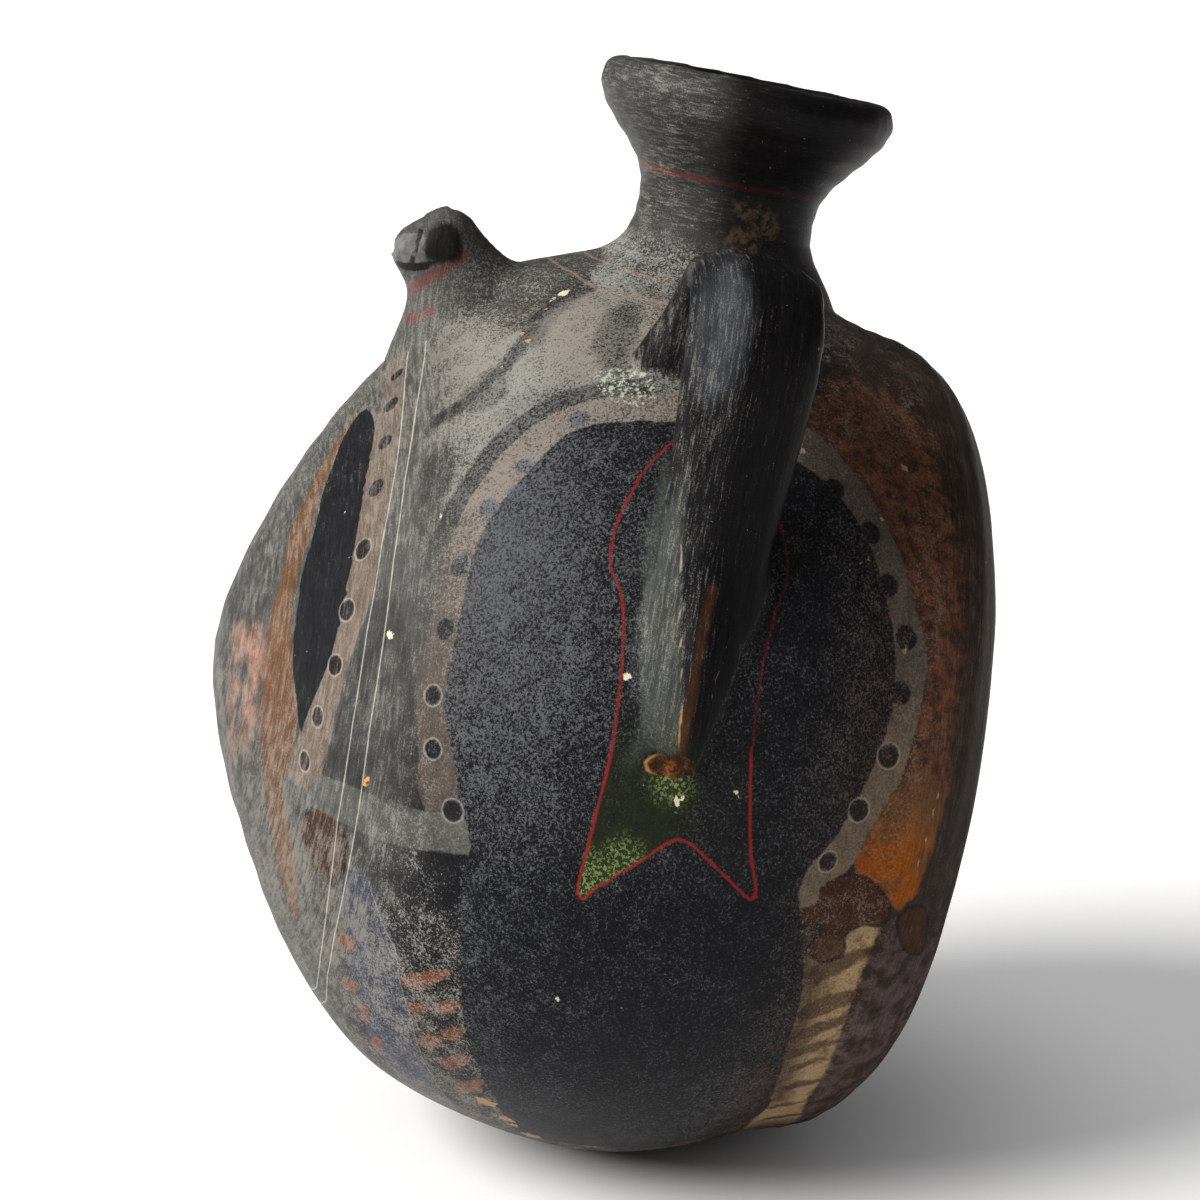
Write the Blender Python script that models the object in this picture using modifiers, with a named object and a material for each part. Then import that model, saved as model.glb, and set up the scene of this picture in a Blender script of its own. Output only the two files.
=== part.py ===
"""Pilgrim flask of painted earthenware, a thrown drum fired with its neck, handle and lug in one piece.

The drum is turned about an axis that runs from a pointed nose in front (-Y) to a shallow dome behind.
A trumpet neck stands on its crown, one strap handle springs from the shoulder at +X, and the stump of a
broken lug leans forward on the front shoulder. The flask is hollow, and it leans back as it rests on the
small flat worn on its underside. The origin is on that flat, in metres, +Z up.
"""
from math import copysign, cos, pi, radians, sin

import bmesh
import bpy
import numpy as np

# Stance: how far the drum's axis is tipped nose-up, and how deep the underside is worn flat.
LEAN = radians(10.8)
WORN_DEPTH = 0.002

# Drum: greatest radius, length from nose to back, and thickness of the fired wall.
BODY_RADIUS = 0.1306
BODY_DEPTH = 0.2066
WALL = 0.007

# Outline of the drum from nose to back, as shares of its depth and of its radius.
BODY_OUTLINE = (
    (0.0, 0.0), (0.032, 0.201), (0.087, 0.416), (0.172, 0.652), (0.300, 0.861), (0.460, 0.968),
    (0.590, 1.0), (0.690, 0.990), (0.800, 0.932), (0.895, 0.888), (0.934, 0.870), (0.957, 0.843),
    (0.969, 0.785), (0.981, 0.665), (0.994, 0.400), (1.0, 0.0),
)

# Neck: place behind the nose, height of the lip's widest ring above the crown, radii and lip.
NECK_STATION = 0.1243
NECK_HEIGHT = 0.0483
NECK_RADIUS = 0.0254
TRUMPET_LENGTH = 0.0295
LIP_RADIUS = 0.0429
LIP_RISE = 0.0057
MOUTH_RADIUS = 0.033
THROAT_RADIUS = 0.0185

# The lip's top as shares: of the mouth's radius and the lip's rise on its inner slope, then of the rise
# alone, inwards from the widest ring and up, on its outer rounding. The funnel inside starts at a share
# of the rise.
LIP_INNER_SLOPE = ((0.90, 0.60), (1.03, 0.95))
LIP_OUTER_ROUNDING = ((1.0, 1.0), (0.35, 0.75))
FUNNEL_START = 0.4

# Foot of the neck, where it spreads into the shoulder: height from its top to the crown, greatest spread,
# and how narrow its front lobe is.
FOOT_HEIGHT = 0.0125
FOOT_SPREAD = 0.037
FOOT_LOBE = 5

# Sections of the foot: drop as a share of its height, then the spread in front, behind and to each side
# as shares of the greatest, which is in front, where clay fills the dip before the lug.
FOOT_SECTIONS = (
    (-0.10, -0.01, -0.01, -0.01), (0.32, 0.01, 0.02, 0.01), (0.92, 0.105, 0.17, 0.125),
    (1.22, 0.27, 0.24, 0.26), (1.41, 0.49, 0.285, 0.38), (1.70, 0.76, 0.355, 0.52),
    (2.00, 1.00, 0.45, 0.66), (2.60, 1.12, 0.50, 0.80), (3.00, 0.90, 0.30, 0.60),
)

# Strap handle: place behind the nose, width, thickness, and height of the arch above the drum.
HANDLE_STATION = 0.114
HANDLE_WIDTH = 0.033
HANDLE_THICKNESS = 0.013
HANDLE_RISE = 0.0398

# The strap from shoulder to side: degrees from the crown, then shares of the rise, width and thickness,
# then the power of the section's outline, where 2 is an ellipse, more is squarer and 1 is a sharp ridge.
HANDLE_LINE = (
    (32.5, -0.31, 1.60, 1.80, 2.0), (31.8, 0.08, 1.22, 1.30, 2.3), (31.8, 0.47, 1.02, 1.05, 2.6),
    (33.8, 0.82, 1.04, 1.00, 2.8), (37.5, 1.00, 1.09, 1.00, 2.8), (41.5, 0.96, 1.11, 1.00, 2.8),
    (45.6, 0.76, 1.09, 1.00, 2.8), (50.0, 0.49, 1.04, 1.00, 2.6), (55.5, 0.26, 0.97, 1.00, 2.3),
    (61.0, 0.11, 0.94, 1.00, 1.7), (67.0, 0.00, 1.02, 1.22, 1.2), (75.0, -0.03, 1.00, 1.20, 1.0),
    (82.0, -0.06, 0.80, 1.10, 1.0), (87.0, -0.10, 0.45, 0.85, 1.2),
)

# Lug: place behind the nose, and height of the stump above the shoulder there.
LUG_STATION = 0.046
LUG_HEIGHT = 0.036

# Sections of the lug from root to broken top, as shares of its height: reach and height of the front
# edge, reach and height of the back edge, half width.
LUG_SECTIONS = (
    (-0.38, -0.50, 0.90, 0.56, 0.58), (-0.23, 0.03, 0.53, 0.67, 0.41), (-0.20, 0.28, 0.37, 0.76, 0.36),
    (-0.32, 0.44, 0.26, 0.86, 0.345), (-0.43, 0.57, 0.16, 0.96, 0.345), (-0.40, 0.68, 0.05, 1.01, 0.27),
)

# Fineness of the facets.
BODY_POINTS, BODY_STEPS = 26, 60
CAVITY_POINTS, CAVITY_STEPS = 15, 40
NECK_STEPS, BORE_STEPS = 36, 28
FOOT_RINGS, FOOT_SIDES = 9, 32
STRAP_SECTIONS, STRAP_SIDES = 24, 14
LUG_RINGS, LUG_SIDES = 9, 14
TRUMPET_POINTS, FUNNEL_POINTS = 9, 7
SPAN_SAMPLES = 30
OUTLINE_SAMPLES = 400
CAVITY_SAMPLES = 6

MERGE_DISTANCE = 0.00001
CLAY_COLOUR = (0.045, 0.045, 0.052, 1.0)
CLAY_ROUGHNESS = 0.62


def smooth_through(points, count):
    """Rows spread evenly along a smooth curve through the given ones, by the place in two columns."""
    points = np.array(points, dtype=float)
    steps = np.sqrt(np.linalg.norm(np.diff(points[:, :2], axis=0), axis=1))
    knots = np.concatenate([[0.0], np.cumsum(steps)])
    slopes = np.gradient(points, knots, axis=0, edge_order=2)
    fine = []
    for i, step in enumerate(steps):
        for t in np.linspace(0.0, 1.0, SPAN_SAMPLES, endpoint=False):
            rise = 3 * t ** 2 - 2 * t ** 3
            leave = (t ** 3 - 2 * t ** 2 + t) * step
            arrive = (t ** 3 - t ** 2) * step
            between = points[i] + rise * (points[i + 1] - points[i])
            fine.append(between + leave * slopes[i] + arrive * slopes[i + 1])
    fine = np.array(fine + [points[-1]])
    lengths = np.linalg.norm(np.diff(fine[:, :2], axis=0), axis=1)
    travelled = np.concatenate([[0.0], np.cumsum(lengths)])
    marks = np.linspace(0.0, travelled[-1], count)
    return np.stack([np.interp(marks, travelled, fine[:, k]) for k in range(fine.shape[1])], axis=1)


def body_outline(count):
    """The drum's outline as (distance behind the nose, radius), nose first."""
    outline = smooth_through(BODY_OUTLINE, count)
    outline[:, 1] = np.maximum(outline[:, 1], 0.0)
    outline[0, 1] = outline[-1, 1] = 0.0
    return outline * (BODY_DEPTH, BODY_RADIUS)


def cavity_outline(count):
    """The drum's outline moved inwards by the wall."""
    outline = body_outline(CAVITY_SAMPLES * count)
    along = np.gradient(outline, axis=0)
    along /= np.linalg.norm(along, axis=1)[:, None]
    inner = outline + WALL * np.stack([along[:, 1], -along[:, 0]], axis=1)
    inner = inner[inner[:, 1] > WALL]
    front = (inner[0, 0] - WALL * along[1, 0] / along[1, 1], 0.0)
    back = (BODY_DEPTH - WALL, 0.0)
    return np.vstack([front, inner[:: len(inner) // count], inner[-1], back])


def radius_at(station):
    """Radius of the drum at a distance behind the nose."""
    outline = body_outline(OUTLINE_SAMPLES)
    return float(np.interp(station, outline[:, 0], outline[:, 1]))


def place_in_collection(obj, collection):
    for owner in obj.users_collection:
        owner.objects.unlink(obj)
    collection.objects.link(obj)


def turned(name, profile, steps, collection):
    """A solid turned about its own Z from a profile of (radius, height) that runs down its outer side."""
    mesh = bpy.data.meshes.new(name)
    points = [(radius, 0.0, height) for radius, height in profile]
    mesh.from_pydata(points, [(i, i + 1) for i in range(len(points) - 1)], [])
    solid = bpy.data.objects.new(name, mesh)
    collection.objects.link(solid)
    screw = solid.modifiers.new("turn", "SCREW")
    screw.steps = steps
    screw.render_steps = steps
    screw.use_merge_vertices = True
    screw.merge_threshold = MERGE_DISTANCE
    screw.use_smooth_shade = True
    return solid


def lofted(name, rings, collection):
    """A closed solid through rings of points that run the same way round."""
    mesh = bpy.data.meshes.new(name)
    form = bmesh.new()
    loops = [[form.verts.new(point) for point in ring] for ring in rings]
    for near, far in zip(loops, loops[1:]):
        for i in range(len(near)):
            j = (i + 1) % len(near)
            form.faces.new((near[i], near[j], far[j], far[i]))
    form.faces.new(list(reversed(loops[0])))
    form.faces.new(loops[-1])
    bmesh.ops.recalc_face_normals(form, faces=form.faces)
    form.to_mesh(mesh)
    form.free()
    solid = bpy.data.objects.new(name, mesh)
    collection.objects.link(solid)
    return solid


def body(collection):
    profile = [(radius, -behind) for behind, radius in body_outline(BODY_POINTS)]
    solid = turned("flask", profile, BODY_STEPS, collection)
    solid.rotation_euler = (pi / 2, 0.0, 0.0)
    return solid


def cavity(collection):
    profile = [(radius, -behind) for behind, radius in cavity_outline(CAVITY_POINTS)]
    hollow = turned("cavity", profile, CAVITY_STEPS, collection)
    hollow.rotation_euler = (pi / 2, 0.0, 0.0)
    return hollow


def trumpet(narrow, wide, top, bottom, count):
    """Profile that flares from the narrow radius at the bottom to the wide one at the top."""
    profile = []
    for share in np.linspace(0.0, 1.0, count):
        radius = narrow + (wide - narrow) * cos(share * pi / 2) ** 2
        profile.append((radius, top + share * (bottom - top)))
    return profile


def neck(collection):
    """Neck and lip: heights are from the widest ring of the lip."""
    rim = [(0.0, 0.0)]
    rim += [(MOUTH_RADIUS * out, LIP_RISE * up) for out, up in LIP_INNER_SLOPE]
    rim += [(LIP_RADIUS - LIP_RISE * inwards, LIP_RISE * up) for inwards, up in LIP_OUTER_ROUNDING]
    flare = trumpet(NECK_RADIUS, LIP_RADIUS, 0.0, -TRUMPET_LENGTH, TRUMPET_POINTS)
    buried = -NECK_HEIGHT - 2 * WALL
    shaft = [(NECK_RADIUS, buried), (0.0, buried)]
    solid = turned("neck", rim + flare + shaft, NECK_STEPS, collection)
    solid.location = (0.0, NECK_STATION, BODY_RADIUS + NECK_HEIGHT)
    return solid


def foot(collection):
    """The neck's spreading foot, which reaches furthest in front."""
    top = BODY_RADIUS + FOOT_HEIGHT
    rings = []
    for drop, front, back, side in smooth_through(FOOT_SECTIONS, FOOT_RINGS):
        ring = []
        for turn in np.linspace(0.0, 2 * pi, FOOT_SIDES, endpoint=False):
            ahead = max(cos(turn), 0.0) ** FOOT_LOBE
            behind = max(-cos(turn), 0.0) ** 2
            spread = side + (front - side) * ahead + (back - side) * behind
            reach = NECK_RADIUS + spread * FOOT_SPREAD
            ring.append((reach * sin(turn), NECK_STATION - reach * cos(turn), top - drop * FOOT_HEIGHT))
        rings.append(ring)
    return lofted("foot", rings, collection)


def bore(collection):
    """The mouth and throat, open from above the lip down into the cavity."""
    above = 2 * LIP_RISE
    throat_top = -TRUMPET_LENGTH
    below = -NECK_HEIGHT - 3 * WALL
    funnel = trumpet(THROAT_RADIUS, MOUTH_RADIUS, LIP_RISE * FUNNEL_START, throat_top, FUNNEL_POINTS)
    profile = [(0.0, above), (MOUTH_RADIUS, above)] + funnel + [(THROAT_RADIUS, below), (0.0, below)]
    hollow = turned("bore", profile, BORE_STEPS, collection)
    hollow.location = (0.0, NECK_STATION, BODY_RADIUS + NECK_HEIGHT)
    return hollow


def strap_line():
    """The strap's middle line with its half width, half thickness and section power."""
    rows = []
    seat = radius_at(HANDLE_STATION)
    for degrees, rise, width, thickness, power in HANDLE_LINE:
        reach = seat + rise * HANDLE_RISE
        across = reach * sin(radians(degrees))
        up = reach * cos(radians(degrees))
        rows.append((across, up, width * HANDLE_WIDTH / 2, thickness * HANDLE_THICKNESS / 2, power))
    return smooth_through(rows, STRAP_SECTIONS)


def rounded(turn, power):
    """A point of a rounded square outline of unit half width; a power of 2 gives a circle."""
    return (
        copysign(abs(cos(turn)) ** (2 / power), cos(turn)),
        copysign(abs(sin(turn)) ** (2 / power), sin(turn)),
    )


def strap(collection):
    """The strap handle, from inside the shoulder over its arch and down the side."""
    line = strap_line()
    tangents = np.gradient(line[:, :2], axis=0)
    tangents /= np.linalg.norm(tangents, axis=1)[:, None]
    rings = []
    for (across, up, half_width, half_thickness, power), (run, climb) in zip(line, tangents):
        ring = []
        for turn in np.linspace(0.0, 2 * pi, STRAP_SIDES, endpoint=False):
            wide, thick = rounded(turn, power)
            out = half_thickness * thick
            place = HANDLE_STATION + half_width * wide
            ring.append((across - climb * out, place, up + run * out))
        rings.append(ring)
    return lofted("handle", rings, collection)


def lug(collection):
    """The broken lug, lofted from inside the front shoulder to its flat broken top."""
    seat = radius_at(LUG_STATION)
    rings = []
    for section in smooth_through(LUG_SECTIONS, LUG_RINGS) * LUG_HEIGHT:
        front_reach, front_height, back_reach, back_height, half_width = section
        ring = []
        for turn in np.linspace(0.0, 2 * pi, LUG_SIDES, endpoint=False):
            share = (1 + cos(turn)) / 2
            behind = LUG_STATION + front_reach + share * (back_reach - front_reach)
            height = seat + front_height + share * (back_height - front_height)
            ring.append((half_width * sin(turn), behind, height))
        rings.append(ring)
    return lofted("lug", rings, collection)


def lowest_point():
    """Where the leaning drum is lowest, as distance back and height from its nose."""
    places = []
    for behind, radius in body_outline(OUTLINE_SAMPLES):
        back = behind * cos(LEAN) - radius * sin(LEAN)
        height = -behind * sin(LEAN) - radius * cos(LEAN)
        places.append((height, back))
    height, back = min(places)
    return back, height


def resting_cutter(collection):
    """Takes the worn flat off the underside, at height 0."""
    bpy.ops.mesh.primitive_cube_add(size=1.0)
    cutter = bpy.context.active_object
    cutter.name = "resting_cutter"
    cutter.scale = (2 * BODY_RADIUS, 2 * BODY_DEPTH, BODY_RADIUS)
    cutter.location = (0.0, 0.0, -BODY_RADIUS / 2)
    place_in_collection(cutter, collection)
    return cutter


def clay():
    material = bpy.data.materials.new("clay")
    material.use_nodes = True
    shader = material.node_tree.nodes["Principled BSDF"]
    shader.inputs["Base Color"].default_value = CLAY_COLOUR
    shader.inputs["Roughness"].default_value = CLAY_ROUGHNESS
    shader.inputs["Metallic"].default_value = 0.0
    return material


def new_collection(name):
    collection = bpy.data.collections.new(name)
    bpy.context.scene.collection.children.link(collection)
    return collection


def build():
    for obj in list(bpy.data.objects):
        bpy.data.objects.remove(obj)

    pieces = new_collection("pilgrim_flask")
    helpers = new_collection("helpers")

    stance = bpy.data.objects.new("stance", None)
    helpers.objects.link(stance)
    back, height = lowest_point()
    stance.location = (0.0, -back, -height - WORN_DEPTH)
    stance.rotation_euler = (-LEAN, 0.0, 0.0)

    flask = body(pieces)
    joined = [neck(helpers), foot(helpers), lug(helpers), strap(helpers)]
    hollows = [cavity(helpers), bore(helpers)]
    for obj in [flask] + joined + hollows:
        obj.parent = stance

    cuts = [(helper, "UNION") for helper in joined]
    cuts += [(helper, "DIFFERENCE") for helper in hollows + [resting_cutter(helpers)]]
    for helper, operation in cuts:
        helper.hide_render = True
        helper.display_type = "WIRE"
        step = flask.modifiers.new(helper.name, "BOOLEAN")
        step.object = helper
        step.operation = operation
        step.solver = "EXACT"
    flask.data.materials.append(clay())


build()
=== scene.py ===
from math import cos, pi, radians, sin

import bmesh
import bpy
import numpy as np
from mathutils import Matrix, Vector


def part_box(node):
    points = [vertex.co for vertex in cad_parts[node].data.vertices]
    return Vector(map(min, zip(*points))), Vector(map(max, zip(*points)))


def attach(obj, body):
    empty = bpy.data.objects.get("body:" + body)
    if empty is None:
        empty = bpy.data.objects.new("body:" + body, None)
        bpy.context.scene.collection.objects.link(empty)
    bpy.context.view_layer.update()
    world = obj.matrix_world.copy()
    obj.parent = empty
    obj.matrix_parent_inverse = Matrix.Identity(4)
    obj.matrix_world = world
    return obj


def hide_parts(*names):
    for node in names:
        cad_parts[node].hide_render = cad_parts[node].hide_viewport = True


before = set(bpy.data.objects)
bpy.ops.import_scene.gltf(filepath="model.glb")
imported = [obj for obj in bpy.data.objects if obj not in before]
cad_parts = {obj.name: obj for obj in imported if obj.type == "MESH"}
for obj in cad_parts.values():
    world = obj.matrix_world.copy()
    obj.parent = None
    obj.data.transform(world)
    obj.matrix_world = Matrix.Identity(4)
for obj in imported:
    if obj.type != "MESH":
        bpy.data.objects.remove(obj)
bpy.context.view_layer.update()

MM = 0.001

# Stance: the drum's axis runs from its pointed nose to the rear and leans nose up.
LEAN = radians(10.8)
NOSE = np.array((0.0, -0.11532, 0.15164))
AXIS = np.array((0.0, cos(LEAN), -sin(LEAN)))
RISE = np.array((0.0, sin(LEAN), cos(LEAN)))

# Flask measures, in metres: places along the axis and heights over it.
GIRTH_RADIUS = 0.1306
DRUM_MIDDLE = 0.100
NECK_STATION = 0.1243
NECK_START = 0.131
LIP_HEIGHT = 0.1789
HANDLE_STATION = 0.114
LUG_STATION = 0.046
LUG_START = 0.106
STRAP_CREST = 0.1095

# Skin: how finely the clay's surface is remeshed and how it is evened out.
SKIN_VOXEL = 0.00195
EVENING_ROUNDS = 8
PUSH_BACK = 1.06
SNAP_FULL = 0.0008
SNAP_NONE = 0.0026
INSIDE_SHARE = 0.08

# Camera: it looks at the handle side, a little from above.
VIEW_AZIMUTH = radians(81.0)
VIEW_ELEVATION = radians(12.5)
VIEW_DISTANCE = 0.935
VIEW_TARGET = Vector((0.0, -0.0023, 0.1593))
LENS_MM = 96.06

# Light: a broad key from the front left and above, a weak fill from everywhere.
KEY_TOWARDS = (0.22, -0.80, 0.62)
KEY_STRENGTH = 5.0
KEY_SPREAD = 40
FILL_STRENGTH = 0.10
# The floor's own glow for the camera, a painted light that lifts the floor's shadow; it fades out under the flask as a
# painted contact shadow.
FLOOR_GLOW = 0.34


def flask_frame(points):
    """Sideways place, station behind the nose and height over the axis of row points."""
    offset = points - NOSE
    return points[:, 0].copy(), offset @ AXIS, offset @ RISE


def row_frame(sideways, station, height):
    """The opposite of flask_frame."""
    return (
        NOSE
        + np.outer(sideways, (1.0, 0.0, 0.0))
        + np.outer(station, AXIS)
        + np.outer(height, RISE)
    )


def fade(value, start, end):
    """Smooth step from 0 at start to 1 at end."""
    share = np.clip((value - start) / (end - start), 0.0, 1.0)
    return share * share * (3.0 - 2.0 * share)


def mesh_points(mesh):
    places = np.empty(len(mesh.vertices) * 3)
    mesh.vertices.foreach_get("co", places)
    return places.reshape(-1, 3)


def mesh_normals(mesh):
    normals = np.empty(len(mesh.vertices) * 3)
    mesh.vertices.foreach_get("normal", normals)
    return normals.reshape(-1, 3)


def place_points(mesh, points):
    mesh.vertices.foreach_set("co", points.astype(np.float32).ravel())
    mesh.update()


def mesh_edges(mesh):
    pairs = np.empty(len(mesh.edges) * 2, dtype=np.int32)
    mesh.edges.foreach_get("vertices", pairs)
    return pairs.reshape(-1, 2)


def evened(points, edges, pull, rounds, push=0.0):
    """Moves each point towards the middle of its neighbours, by its own share, then pushes it back."""
    count = len(points)
    first, second = edges[:, 0], edges[:, 1]
    neighbours = np.bincount(edges.ravel(), minlength=count)
    for step in range(2 * rounds if push else rounds):
        middle = np.empty_like(points)
        for axis in range(3):
            middle[:, axis] = np.bincount(first, points[second, axis], count)
            middle[:, axis] += np.bincount(second, points[first, axis], count)
        middle /= neighbours[:, None]
        share = -push if push and step % 2 else 1.0
        points = points + share * pull[:, None] * (middle - points)
    return points


def copy_of_node(node):
    """A merged copy of a CAD node's mesh."""
    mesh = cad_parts[node].data.copy()
    form = bmesh.new()
    form.from_mesh(mesh)
    bmesh.ops.remove_doubles(form, verts=form.verts, dist=1e-5)
    form.to_mesh(mesh)
    form.free()
    return mesh


def with_modifier(mesh, kind, **settings):
    """The mesh after one modifier, as a new plain mesh."""
    holder = bpy.data.objects.new("holder", mesh)
    bpy.context.scene.collection.objects.link(holder)
    groups = settings.pop("weights", None)
    if groups is not None:
        group = holder.vertex_groups.new(name="chosen")
        group.add([int(index) for index in np.flatnonzero(groups)], 1.0, "REPLACE")
        settings["vertex_group"] = "chosen"
    modifier = holder.modifiers.new(kind, kind)
    for name, value in settings.items():
        setattr(modifier, name, value)
    graph = bpy.context.evaluated_depsgraph_get()
    made = bpy.data.meshes.new_from_object(holder.evaluated_get(graph))
    bpy.data.objects.remove(holder)
    return made


def drum_outline(mesh):
    """The drum's outline seen from its middle, read from the CAD rings on the plain side."""
    points = mesh_points(mesh)
    normals = mesh_normals(mesh)
    sideways, station, height = flask_frame(points)
    radius = np.hypot(sideways, height)
    out_x = sideways / np.maximum(radius, 1e-6)
    out_z = height / np.maximum(radius, 1e-6)
    facing = normals[:, 0] * out_x + (normals @ RISE) * out_z
    ahead = (normals @ AXIS) * np.sign(station - DRUM_MIDDLE)
    outer = (facing + np.maximum(ahead, 0.0)) > 0.3
    plain = outer & (sideways < -0.35 * radius) & (np.abs(height) < 0.9 * radius)
    turn = np.arctan2(radius[plain], station[plain] - DRUM_MIDDLE)
    reach = np.hypot(radius[plain], station[plain] - DRUM_MIDDLE)
    order = np.argsort(turn)
    turn, reach = turn[order], reach[order]
    starts = np.concatenate(([0], np.flatnonzero(np.diff(turn) > 0.004) + 1, [len(turn)]))
    rings = [slice(a, b) for a, b in zip(starts[:-1], starts[1:])]
    ring_turn = np.array([turn[ring].mean() for ring in rings])
    ring_reach = np.array([np.median(reach[ring]) for ring in rings])
    return ring_turn, ring_reach


def outline_reach(outline, turn):
    """Smooth reading between the outline's rings."""
    ring_turn, ring_reach = outline
    slope = np.gradient(ring_reach, ring_turn)
    index = np.clip(np.searchsorted(ring_turn, turn) - 1, 0, len(ring_turn) - 2)
    span = ring_turn[index + 1] - ring_turn[index]
    share = np.clip((turn - ring_turn[index]) / span, 0.0, 1.0)
    square, cube = share * share, share * share * share
    return (
        (2 * cube - 3 * square + 1) * ring_reach[index]
        + (cube - 2 * square + share) * span * slope[index]
        + (3 * square - 2 * cube) * ring_reach[index + 1]
        + (cube - square) * span * slope[index + 1]
    )


def over_drum(outline, points):
    """How far each point stands proud of the drum, seen from the drum's middle."""
    sideways, station, height = flask_frame(points)
    radius = np.hypot(sideways, height)
    turn = np.arctan2(radius, station - DRUM_MIDDLE)
    return np.hypot(radius, station - DRUM_MIDDLE) - outline_reach(outline, turn)


def onto_drum(outline, points, share):
    """Draws points onto the drum's true outline by their share."""
    sideways, station, height = flask_frame(points)
    radius = np.hypot(sideways, height)
    away = station - DRUM_MIDDLE
    reach = np.hypot(radius, away)
    wanted = outline_reach(outline, np.arctan2(radius, away))
    scale = 1.0 + share * (wanted / np.maximum(reach, 1e-6) - 1.0)
    return row_frame(sideways * scale, DRUM_MIDDLE + away * scale, height * scale)


def ripple(points, seed, count, wavelength, height):
    """Soft unevenness: waves in seeded directions, added up."""
    chance = np.random.default_rng(seed)
    total = np.zeros(len(points))
    for _ in range(count):
        direction = chance.normal(size=3)
        direction /= np.linalg.norm(direction)
        length = wavelength * chance.uniform(0.7, 1.5)
        total += np.sin(points @ direction * (2 * pi / length) + chance.uniform(0, 2 * pi))
    return total * height / count ** 0.5


def hand_made(points, normals, outline):
    """Marks of the potter's hand: rings, dents, the strap's grooves and the broken lug."""
    sideways, station, height = flask_frame(points)
    proud = over_drum(outline, points)
    moved = ripple(points, 4, 9, 0.055, 0.00022) + ripple(points, 9, 12, 0.018, 0.00006)
    ends = fade(station, 0.150, 0.175) + fade(-station, -0.050, -0.020)
    rings = np.sin(station * (2 * pi / 0.0062) + ripple(points, 3, 5, 0.09, 1.2))
    moved += 0.00012 * rings * ends * (proud < 0.002)
    neck = neck_share(sideways, station, height)
    neck_rings = np.sin(height * (2 * pi / 0.0055) + ripple(points, 5, 4, 0.07, 1.0))
    moved += 0.00014 * neck_rings * neck
    strap = strap_share(sideways, station, height, proud)
    grooves = np.sin(station * (2 * pi / 0.0052) + ripple(points, 6, 5, 0.06, 1.4))
    moved += 0.00022 * grooves * strap
    crest = np.exp(-((station - STRAP_CREST) / 0.0045) ** 2) * fade(height, 0.085, 0.115)
    moved += 0.0011 * crest * strap
    lug = lug_share(sideways, station, height, proud)
    chipped = np.round(ripple(points, 8, 5, 0.016, 1.6)) * fade(height, LUG_START + 0.010, LUG_START + 0.013)
    moved -= 0.0005 * chipped * lug * (station < LUG_STATION)
    return points + moved[:, None] * normals


def neck_share(sideways, station, height):
    """1 on the neck and lip, 0 elsewhere."""
    near = np.hypot(sideways, station - NECK_STATION)
    return fade(height, NECK_START, NECK_START + 0.010) * (near < 0.056)


def strap_share(sideways, station, height, proud):
    """1 on the strap handle and its ridge, 0 elsewhere."""
    beside = fade(sideways, 0.052, 0.064) * fade(-np.abs(station - HANDLE_STATION), -0.030, -0.022)
    return beside * fade(proud, 0.0008, 0.0030)


def lug_share(sideways, station, height, proud):
    """1 on the broken lug in front of the neck, 0 elsewhere."""
    near = np.hypot(sideways, station - LUG_STATION)
    return fade(height, LUG_START - 0.008, LUG_START + 0.006) * (near < 0.045)


def inner_side(points, normals, outline):
    """True for the hollow's wall, deeper than the throat."""
    sideways, station, height = flask_frame(points)
    return (over_drum(outline, points) < -0.0045) & (height < NECK_START + 0.012)


def clay_skin():
    """The flask's visible clay: the CAD form remeshed, evened and worked by hand."""
    cad = copy_of_node("flask")
    outline = drum_outline(cad)
    mesh = with_modifier(cad, "REMESH", mode="VOXEL", voxel_size=SKIN_VOXEL)
    points = mesh_points(mesh)
    edges = mesh_edges(mesh)
    whole = np.full(len(points), 0.5)
    points = evened(points, edges, whole, EVENING_ROUNDS, PUSH_BACK)
    near = np.abs(over_drum(outline, points))
    points = onto_drum(outline, points, 1.0 - fade(near, SNAP_FULL, SNAP_NONE))
    joint = fade(near, 0.0004, 0.002) * 0.5
    points = evened(points, edges, joint, EVENING_ROUNDS)
    place_points(mesh, points)
    points = hand_made(points, mesh_normals(mesh), outline)
    low, high = (np.array(corner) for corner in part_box("flask"))
    place_points(mesh, np.clip(points, low + 0.00005, high - 0.00005))
    inside = inner_side(points, mesh_normals(mesh), outline)
    kept = 1.0 - inside.mean() * (1.0 - INSIDE_SHARE)
    mesh = with_modifier(mesh, "DECIMATE", ratio=kept, weights=inside)
    return mesh, outline


# The painting. An outline's points are (round, along): millimetres round the widest girth
# from the crown towards the handle, and millimetres behind the nose.
FIELD = (
    (96, 126), (96, 105), (96, 88), (98, 78), (104, 72), (113, 66), (122, 61), (132, 57),
    (146, 55), (166, 54), (186, 54), (205, 59), (214, 61), (227, 66), (238, 65), (260, 69),
    (283, 74), (302, 81), (322, 91), (350, 105), (346, 127), (340, 154), (322, 167), (299, 165),
    (275, 162), (252, 160), (232, 154), (217, 151), (204, 158), (188, 164), (170, 168),
    (150, 167), (133, 162), (120, 156), (109, 146), (104, 136),
)
BAND = (
    (85, 116), (86, 100), (87, 86), (90, 75), (96, 67), (103, 61), (113, 56), (124, 52),
    (140, 49), (160, 48), (182, 47), (204, 50), (220, 53), (230, 66), (222, 98), (226, 151),
    (219, 157), (214, 164), (204, 167), (194, 171), (186, 174), (170, 176), (152, 177),
    (136, 172), (122, 167), (108, 158), (96, 147), (88, 132),
)
LEVEL_BAND = (
    (257, 21), (243, 23), (233, 28), (226, 41), (222, 53), (219, 62), (228, 67), (233, 58),
    (240, 46), (243, 40), (246, 35), (251, 29), (262, 24),
)
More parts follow.
